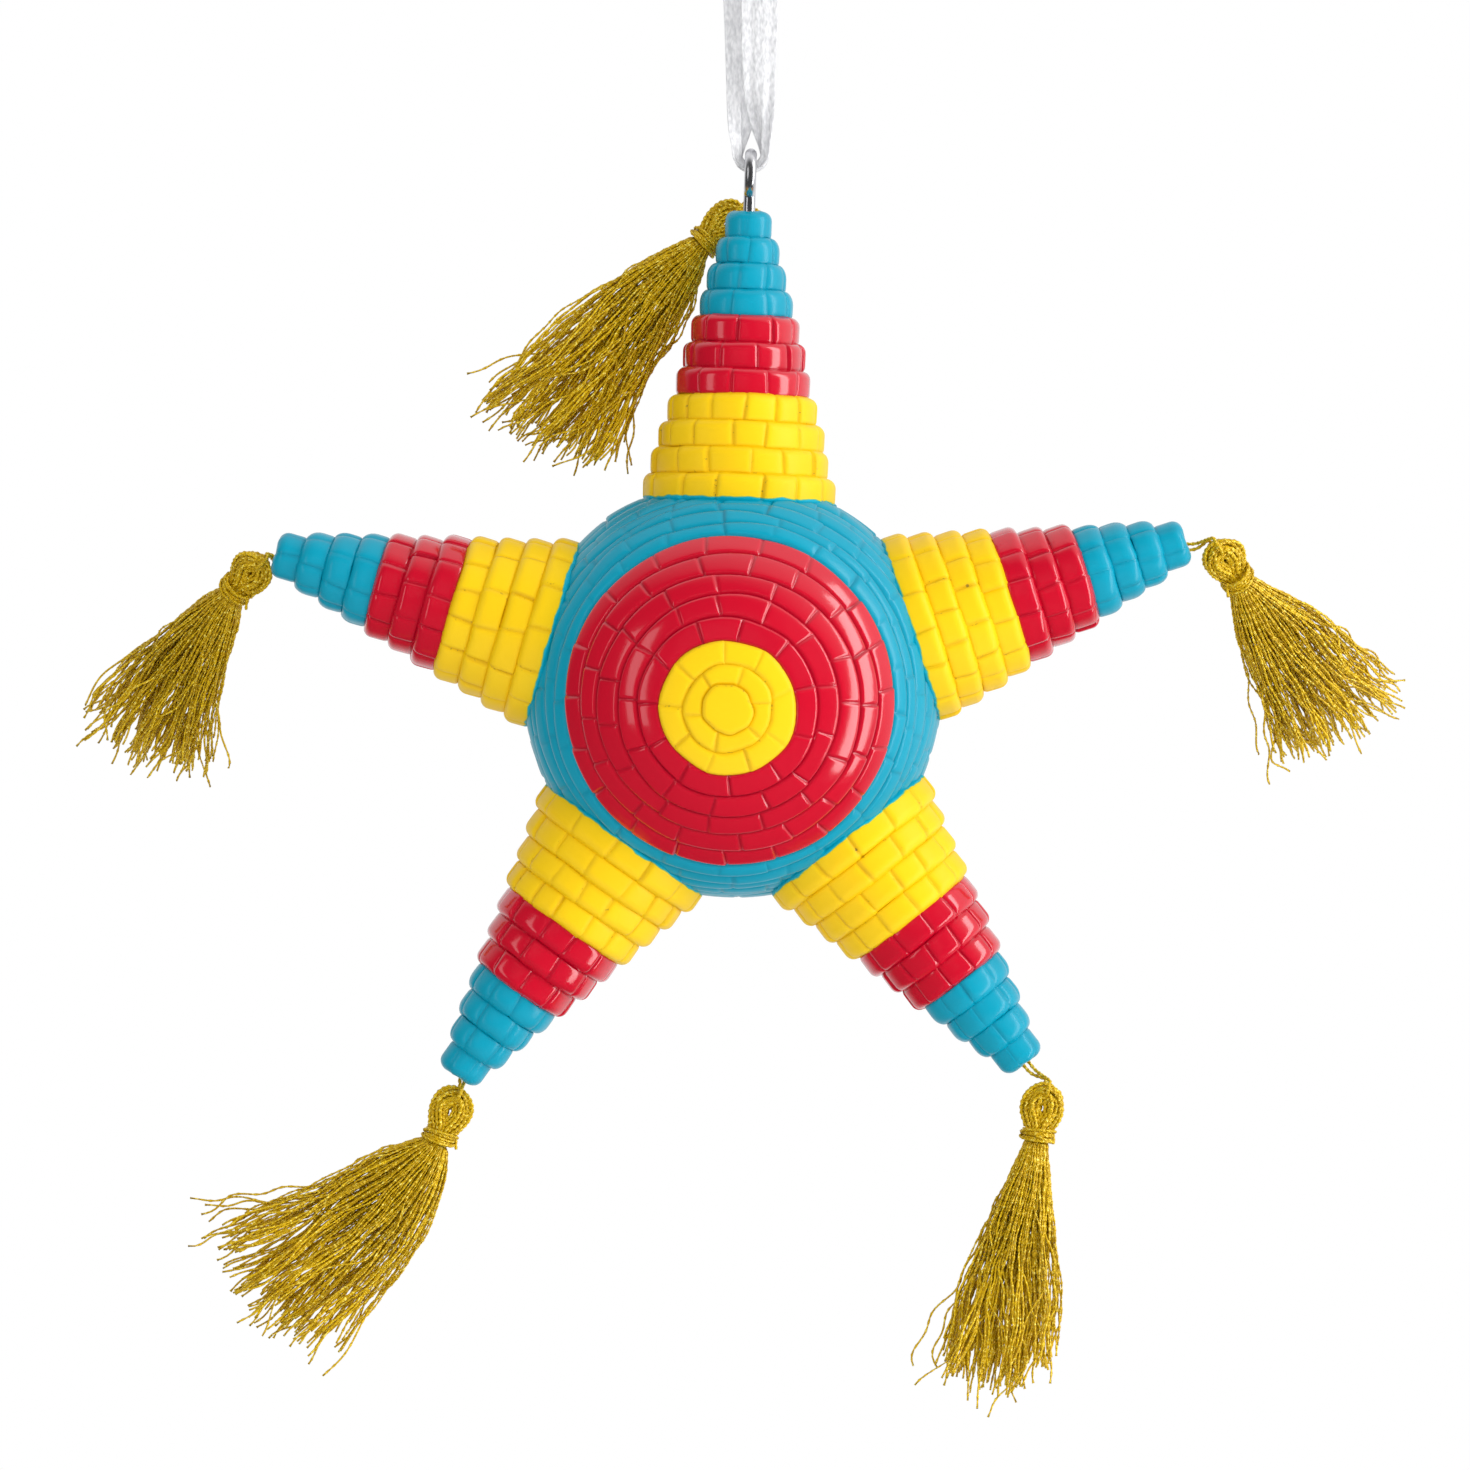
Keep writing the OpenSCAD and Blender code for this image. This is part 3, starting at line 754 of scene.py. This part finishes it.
def make_camera():
    """A level camera at the photograph's angle, far enough back for its flat perspective."""
    data = bpy.data.cameras.new("camera")
    data.sensor_width = SENSOR
    data.lens = SENSOR * VIEW_DISTANCE / VIEW_WIDTH
    data.clip_start, data.clip_end = 0.05, 20
    camera = bpy.data.objects.new("camera", data)
    camera.location = (VIEW_LEFT + VIEW_WIDTH / 2, -VIEW_DISTANCE, VIEW_TOP - VIEW_WIDTH / 2)
    camera.rotation_euler = (math.pi / 2, 0, 0)
    bpy.context.scene.collection.objects.link(camera)
    bpy.context.scene.camera = camera


# ---- ribbon ----

def strip(name, line, wide, half_width, pleat, paints, nodes=(), folds=2.5, cut=0.0):
    """A thin closed strip along a line: wide is its direction across, and pleat how deep it folds."""
    steps, over, thick = len(line), 33, 0.11 * MM
    along = heading(line)
    x = across(wide, along)
    y = np.cross(along, x)
    u = np.linspace(-1, 1, over)
    half_width = np.broadcast_to(half_width, steps)[:, None]
    pleat = np.broadcast_to(pleat, steps)[:, None]
    run = np.linspace(0, 1, steps)[:, None]
    fold = np.cos(folds * math.pi * (u + 0.12 * np.sin(7 * run) + 0.2))
    fold = fold + 0.35 * np.cos(2.3 * folds * math.pi * u + 5 * run)
    side = half_width * u
    depth = pleat * fold
    sheet = line[:, None] + side[..., None] * x[:, None] + depth[..., None] * y[:, None]
    if cut:
        end = np.clip((run - 0.85) / 0.15, 0, 1)
        sheet = sheet - (cut * end * (u + 1) / 2)[..., None] * along[:, None]
    normal = np.cross(np.gradient(sheet, axis=1), np.gradient(sheet, axis=0))
    normal = unit(normal) * thick / 2
    ring = np.concatenate([sheet + normal, (sheet - normal)[:, ::-1]], axis=1)
    points = ring.reshape(-1, 3)
    return make_piece(name, points, tube_faces(1, steps, 2 * over), paints, "hanger", nodes)


def make_ribbon(paints):
    """The hanging loop: from the knot down, round the eye's wire and back up to the knot."""
    drop = -float(SWING[2])
    left = [(x * BEND_R, y * MM, -share * (drop - WIRE_R)) for x, y, share in STRAND]
    angles = [math.pi * (1 + k / BEND_STEPS) for k in range(BEND_STEPS + 1)]
    bend = [(BEND_R * math.cos(a), 0, SWING[2] + BEND_R * math.sin(a)) for a in angles]
    right = [(-x, -y, z) for x, y, z in reversed(left)]
    route = smooth(left + bend + right, STRAND_STEPS)
    line = resample(route, LINE_STEPS)
    at = np.linspace(0, 1, LINE_STEPS)
    along = np.concatenate([[0], np.cumsum(np.linalg.norm(np.diff(route, axis=0), axis=1))])
    knots = np.interp(at * along[-1], along, np.arange(len(route)) / STRAND_STEPS)

    def eased(strand_values, bend_value):
        """A value at every step, from its values down one strand and round the bend."""
        values = strand_values + [bend_value] * len(bend) + strand_values[::-1]
        exact = np.interp(knots, np.arange(len(values)), values)
        return np.convolve(np.pad(exact, 4, mode="edge"), np.ones(9) / 9, mode="valid")

    # It lies flat against the wire in the eye, and turns to face the front above it
    turn = math.pi / 2 * eased(STRAND_TURN, 0) * np.where(at < 0.5, 1, -1)
    wide = np.stack([np.sin(turn), np.cos(turn), np.zeros(LINE_STEPS)], axis=1)
    half = eased(STRAND_HALF, BEND_HALF) * MM
    pleat = np.interp(half / MM, [1.1, 1.9], [0.40, 0.07]) * MM
    piece = strip("ribbon_loop", line, wide, half, pleat, paints, ["ribbon"], folds=1.6)
    knot = make_knot(paints)
    return piece


def make_knot(paints):
    """The ribbon's knot: crossing turns round its own strands, and two tails with slanting ends."""
    low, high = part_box("ribbon_knot")
    waist = min((high.x - low.x) / 2, KNOT_WAIST)
    pieces = []
    # How each turn is tilted, where it starts, and its size as a share of the waist
    for number, (tilt, start, size) in enumerate([(0.42, 0.3, 0.80), (-0.50, 2.2, 0.72), (0.1, 4.0, 0.55)]):
        a = np.linspace(start, start + 2 * math.pi * 0.97, 90)
        line = np.stack([
            waist * size * np.cos(a), waist * size * np.sin(a) * 0.85,
            KNOT_H / 2 + waist * tilt * np.cos(a - start)], axis=1)
        wide = np.broadcast_to(Z + 0.35 * tilt * X, line.shape)
        pieces.append(strip(
            f"knot_turn_{number + 1}", line, wide, KNOT_H * 0.42, 0.22 * MM, paints,
            ["ribbon_knot"] if number == 0 else (), folds=2.0 + number * 0.5))
    for number, side in enumerate((-1, 1)):
        t = np.linspace(0, 1, 40)
        line = np.stack([
            side * (0.4 + 1.9 * t**1.4) * MM, side * (0.9 + 0.5 * np.sin(2.5 * t)) * MM,
            KNOT_H * 0.35 + t * (high.z - KNOT_H * 0.35)], axis=1)
        wide = np.broadcast_to(X + 0.35 * side * Y, line.shape)
        half = (1.3 + 1.1 * t) * MM
        pleat = (0.42 - 0.25 * t) * MM
        pieces.append(strip(f"knot_tail_{number + 1}", line, wide, half, pleat, paints, cut=1.6 * MM))
    return pieces


# ---- tassels ----

def loop_line(side):
    """The thread's route through its hole, behind the tip and round the bundle."""
    thread_r = THREAD_LOOP_D / 2
    skim = TIP_R + FREE_GAP + thread_r
    hook_r = BUNDLE_D / 2 + FREE_GAP + thread_r
    bow = LOOP_BOW.get(side.name, 0)
    out = [
        (0.25 * MM, 0, TIP_R - TIE_DEPTH + BORE_FLOOR, 0),
        (0.27 * MM, 0, TIP_R - 0.4 * MM, 0),
        (0.3 * MM, 0.05, skim - FREE_GAP, 0.15 * MM),
        (0.35 * MM, 0.3, skim, 0.6 * MM),
        (0.35 * MM, 0.75, skim, 1.1 * MM),
        (0.3 * MM, 1, max(skim, side.back - 0.7 * MM), 0.6 * side.reach),
    ]
    loop_axes, head_axes = star_basis(side.loop), star_basis(side.head)
    flip = -1 if side.loop @ side.head < 0 else 1
    hook = [
        side.bundle + np.array([
            -0.25 * MM * flip * math.cos(a), -hook_r * math.cos(a), hook_r * math.sin(a)]) @ head_axes
        for a in np.radians(range(-45, 226, 27))
    ]

    def strand(sign):
        return [
            side.tie + np.array([sign * x + share * bow, y, z]) @ loop_axes for x, share, y, z in out]

    return smooth(strand(-1) + hook + strand(1)[::-1], 8)


def make_loop(side, paints):
    line = resample(loop_line(side), LINE_STEPS)
    wide = star_basis(side.loop)[0] + 0.3 * Y
    points, faces, marks = threads(line[None], 0.22 * MM, 0.16 * MM, 1.2 * MM, wide, 8)
    make_piece(
        side.name + "_loop_thread", points, faces, paints, side.name + "_loop",
        [side.name + "_tassel_loop"], marks)


def disc(count):
    """Points spread evenly over a disc of radius 1."""
    k = np.arange(count)
    radius, angle = np.sqrt((k + 0.5) / count), k * math.pi * (3 - math.sqrt(5))
    return radius * np.cos(angle), radius * np.sin(angle)


def make_head(side, paints, draw):
    """The bundle that is folded over the loop: its threads run up one side and down the other."""
    foot = side.wrap_end / MM
    neck = side.wrap_start / MM
    up = [(0.5, foot), (0.55, neck), (0.9, 3.5), (1.25, 2.5), (1.2, 1.5), (0.7, 0.85)]
    fold = up + [(0, 0.65)] + [(-x, z) for x, z in reversed(up)]
    middle = smooth(np.array(fold) * MM, 10)
    steps = len(middle)
    line = np.stack([middle[:, 0], np.zeros(steps), middle[:, 1]], axis=1)
    along = heading(line)
    inward = np.cross(along, Y)
    open_share = np.clip((foot * MM - line[:, 2]) / (2.4 * MM), 0, 1)
    a, b = disc(HEAD_THREADS)
    reach_in = (0.5 + 0.55 * open_share) * MM
    reach_y = (1.0 - 0.15 * open_share) * MM
    t = np.linspace(0, 1, steps)
    ease = np.sin(math.pi * t) ** 2
    # The threads at the back cross towards the middle and close the eye from behind
    crossing = np.maximum(0, b)[:, None] * 0.6 * MM * open_share * -np.sign(line[:, 0])
    paths = (
        line
        - (a[:, None] * reach_in)[..., None] * inward
        + crossing[..., None] * X
        + (b[:, None] * reach_y)[..., None] * Y
    )
    phase = draw.uniform(0, 6.3, (HEAD_THREADS, 1, 3))
    paths += 0.17 * MM * np.sin(15 * t[None, :, None] + phase) * ease[None, :, None]
    points, faces, marks = threads(paths, 0.25 * MM, 0.16 * MM, 1.2 * MM, Y, 7)
    make_piece(
        side.name + "_head_threads", side.world(points), faces, paints, side.name + "_tassel",
        [side.name + "_tassel_head"], marks)


def make_binding(side, paints, draw):
    """The thread that binds the neck, with crossing turns over it and a short cut tail."""
    height = side.wrap_end - side.wrap_start
    radius = side.wrap_r - 0.14 * MM
    turns = round(height / (0.33 * MM))
    t = np.linspace(0, 1, 40 * turns)
    wave = 0.07 * MM * np.sin(2 * math.pi * turns * t * 0.37 + draw.uniform(0, 6))
    wound = np.stack([
        radius * np.cos(2 * math.pi * turns * t), radius * np.sin(2 * math.pi * turns * t),
        side.wrap_start + 0.15 * MM + (height - 0.3 * MM) * t + wave], axis=1)
    t = np.linspace(0, 1, 120)
    a = 2 * math.pi * 2.3 * t + draw.uniform(0, 6)
    over = np.stack([
        (radius + 0.24 * MM) * np.cos(a), (radius + 0.24 * MM) * np.sin(a),
        side.wrap_start + 0.2 * MM + (height - 0.4 * MM) * (0.5 - 0.5 * np.cos(a * 0.62))], axis=1)
    down = -Z @ side.axes.T
    lower = unit(down * [1, 1, 0])
    foot = lower * radius + Z * (side.wrap_start + 0.1 * MM)
    t = np.linspace(0, 1, 14)[:, None]
    tail = foot + down * 1.5 * MM * t + 0.12 * MM * np.sin(5 * t) * Y
    parts = [
        threads(path[None], 0.19 * MM, 0.14 * MM, 1.3 * MM, wide, 7)
        for path, wide in ((wound, Z), (over, Z), (tail, X))
    ]
    points, faces, marks = joined(parts)
    make_piece(
        side.name + "_binding_thread", side.world(points), faces, paints, side.name + "_tassel",
        [side.name + "_tassel_binding"], marks)


def bent(start, knee, end, s):
    """Points and directions on a curve from start to end that a knee pulls aside, at each share s."""
    before, after = (1 - s)[..., None], s[..., None]
    middle = before**2 * start + 2 * after * before * knee + after**2 * end
    return middle, unit(before * (knee - start) + after * (end - knee))


def make_skirt(side, paints, draw):
    """Threads that leave the binding as one bundle, fan out, gather in wisps and end unevenly."""
    count, skirt = SKIRT_THREADS, SKIRTS[side.name]
    start = np.array([0, 0, side.wrap_end - 0.1 * MM])
    end = side.skirt_end
    knee = start + 0.32 * (0.6 * np.linalg.norm(end - start) * Z + 0.4 * (end - start))
    u, v = disc(count)
    stray = draw.random(count) < 0.1
    upper = 1 if side.axes[0, 2] > 0 else -1
    # Threads of one length end on an arc round the binding
    reach = draw.normal(skirt.reach, 0.04, count)
    reach += 0.04 * stray - 0.05 * u**2 - 0.07 * np.clip(-u * upper, 0, 1)
    s = np.linspace(0, 1, SKIRT_STEPS) * reach[:, None]
    middle, along = bent(start, knee, end, s)
    x = across(np.broadcast_to(X, along.shape), along)
    y = np.cross(along, x)
    # Wisps: each thread leans towards the nearest of a few places in the fan
    wisp_u, wisp_v = disc(21)
    near = ((u[:, None] - wisp_u) ** 2 + (v[:, None] - wisp_v) ** 2).argmin(1)
    pull = 1.05 * np.clip(s - 0.3, 0, 1) * (1 - stray)[:, None]
    # One side of the fan stands off more loosely than the other
    outer = upper * skirt.loose
    loose = np.clip(u * outer - 0.35, 0, 1) ** 2 * outer
    spread = (0.12 * stray * u + 0.3 * loose)[:, None] * s**1.5
    fan_u = u[:, None] + pull * (wisp_u[near] - u)[:, None] + spread
    fan_v = v[:, None] + pull * (wisp_v[near] - v)[:, None]
    width = NECK_R + (skirt.width - NECK_R) * s**skirt.belly
    depth = NECK_R + (SKIRT_DEPTH - NECK_R) * s
    phase = draw.uniform(0, 2 * math.pi, (4, count, 1))
    shared = draw.uniform(0, 2 * math.pi, (2, len(wisp_u)))
    slow = draw.uniform(1.0, 2.2, (count, 1)) * 2 * math.pi
    fast = draw.uniform(4.0, 7.0, (count, 1)) * 2 * math.pi

    def sway(k):
        """A thread's own slow and fast waves, and the wave that its wisp shares."""
        wisp = 0.75 * s**1.5 * np.sin(1.3 * 2 * math.pi * s + shared[k][near][:, None])
        own = 0.45 * s * np.sin(slow * s + phase[k])
        own = own + (0.04 + 0.14 * s**2) * np.sin(fast * s + phase[k + 2])
        return (wisp + own) * MM

    offset_x = fan_u * width + sway(0) * (1 + 1.5 * stray[:, None])
    offset_y = fan_v * depth + sway(1) * 0.7
    paths = middle + offset_x[..., None] * x + offset_y[..., None] * y
    droop = (draw.uniform(0, 0.4, (count, 1)) * MM * s**3)[..., None] * (-Z @ side.axes.T)
    points, faces, marks = threads(paths + droop, 0.15 * MM, 0.095 * MM, 2.0 * MM, Y, 6)
    make_piece(
        side.name + "_skirt_threads", side.world(points), faces, paints, side.name + "_tassel",
        [side.name + "_tassel_skirt"], marks)


# ---- stage and light ----

def make_floor(paints):
    """A plain pale disc well below the ornament, which hangs clear of it."""
    count, radius, low = 96, 1.6, CAD_BOX[0].z - 0.35
    a = np.linspace(0, 2 * math.pi, count, endpoint=False)
    points = np.stack([radius * np.cos(a), radius * np.sin(a), np.full(count, low)], axis=1)
    mesh = bpy.data.meshes.new("floor")
    mesh.from_pydata(points.tolist(), [], [list(range(count))])
    mesh.materials.append(paints[0])
    floor = bpy.data.objects.new("floor", mesh)
    bpy.context.scene.collection.objects.link(floor)
    floor.visible_glossy = False


def make_light(name, direction, distance, size, power, mirrored=True):
    """A softbox that faces the star from a direction. One that isn't mirrored shows in no gloss."""
    data = bpy.data.lights.new(name, "AREA")
    data.shape = "RECTANGLE"
    data.size, data.size_y = size
    data.energy = power
    light = bpy.data.objects.new(name, data)
    way = unit(np.array(direction, float))
    light.location = CENTRE + way * distance
    light.rotation_mode = "QUATERNION"
    light.rotation_quaternion = Vector(way).to_track_quat("Z", "Y")
    light.visible_camera = False
    light.visible_glossy = mirrored
    bpy.context.scene.collection.objects.link(light)


def make_world():
    """White behind, above and to the right; dim in front and to the left. The camera sees plain white."""
    world = bpy.data.worlds.new("studio")
    world.use_nodes = True
    bpy.context.scene.world = world
    nodes, links = world.node_tree.nodes, world.node_tree.links
    background = nodes["Background"]
    way = nodes.new("ShaderNodeTexCoord").outputs["Generated"]
    dot = nodes.new("ShaderNodeVectorMath")
    dot.operation = "DOT_PRODUCT"
    dot.inputs[1].default_value = unit(np.array([0.30, 0.80, 0.50])).tolist()
    links.new(way, dot.inputs[0])
    paths = nodes.new("ShaderNodeLightPath")

    def faded(low, high):
        fade = nodes.new("ShaderNodeMapRange")
        fade.inputs["From Min"].default_value = -0.15
        fade.inputs["From Max"].default_value = 0.35
        fade.inputs["To Min"].default_value = low
        fade.inputs["To Max"].default_value = high
        links.new(dot.outputs["Value"], fade.inputs["Value"])
        return fade.outputs[0]

    glossy = nodes.new("ShaderNodeMix")
    links.new(paths.outputs["Is Glossy Ray"], glossy.inputs["Factor"])
    links.new(faded(0.34, 0.9), glossy.inputs["A"])
    links.new(faded(0.05, 0.9), glossy.inputs["B"])
    strength = nodes.new("ShaderNodeMath")
    strength.operation = "MAXIMUM"
    links.new(glossy.outputs["Result"], strength.inputs[0])
    links.new(paths.outputs["Is Camera Ray"], strength.inputs[1])
    links.new(strength.outputs[0], background.inputs["Strength"])
    background.inputs["Color"].default_value = rgb(1, 1, 1)


def make_lights():
    make_light("key_right", (0.95, -0.33, 0.05), 0.75, (0.22, 1.3), 4.5)
    make_light("key_soft", (0.7, -0.8, 0.35), 1.1, (0.6, 0.8), 4.5, mirrored=False)
    make_light("fill_front", (-0.1, -1.0, 0.25), 1.1, (0.7, 0.7), 5.0, mirrored=False)
    make_light("fill_left", (-0.8, -0.7, 0.1), 1.2, (0.25, 0.9), 1.2)


# ---- making ----

def dress_eye_screw():
    """The eye screw keeps its CAD mesh and takes the wire's material."""
    screw = frame["nodes"]["eye_screw"]
    screw.data.materials.clear()
    screw.data.materials.append(bright_wire())


def make_ball(paints):
    draw = np.random.default_rng(11)
    for half, front in (("front", True), ("back", False)):
        points, faces, marks, which = ball_half(front, draw)
        make_piece(
            f"ball_{half}_bricks", points, faces, paints, "star", ["ball_" + half],
            marks, which)


def make_cone(side, paints, draw):
    cone = (node_points(side.name + "_cone") - CENTRE) @ star_basis(side.cone).T
    base_r = float(np.abs(cone[:, 1]).max())
    points, faces, marks, which = cone_rows(side, base_r, draw)
    make_piece(
        side.name + "_cone_bricks", points, faces, paints, "star",
        [side.name + "_cone"], marks, which)


make_camera()
star_paints = make_paints()
make_ribbon([satin_ribbon()])
dress_eye_screw()
make_ball(star_paints)

cone_paints = lapped_yellow(star_paints)
# The thread's colour, and its dark: painted shade between the plies and the tone of darker threads.
gold = [gold_thread("gold_thread", (0.95, 0.64, 0.006), (0.44, 0.25, 0.002))]
for number, name in enumerate(SIDES):
    side = Side(name)
    make_cone(side, cone_paints, np.random.default_rng(20 + number))
    draw = np.random.default_rng(40 + number)
    make_loop(side, gold)
    make_head(side, gold, draw)
    make_binding(side, gold, draw)
    make_skirt(side, gold, draw)

make_floor([pale_floor()])
make_world()
make_lights()
bpy.context.scene.view_settings.view_transform = "Standard"
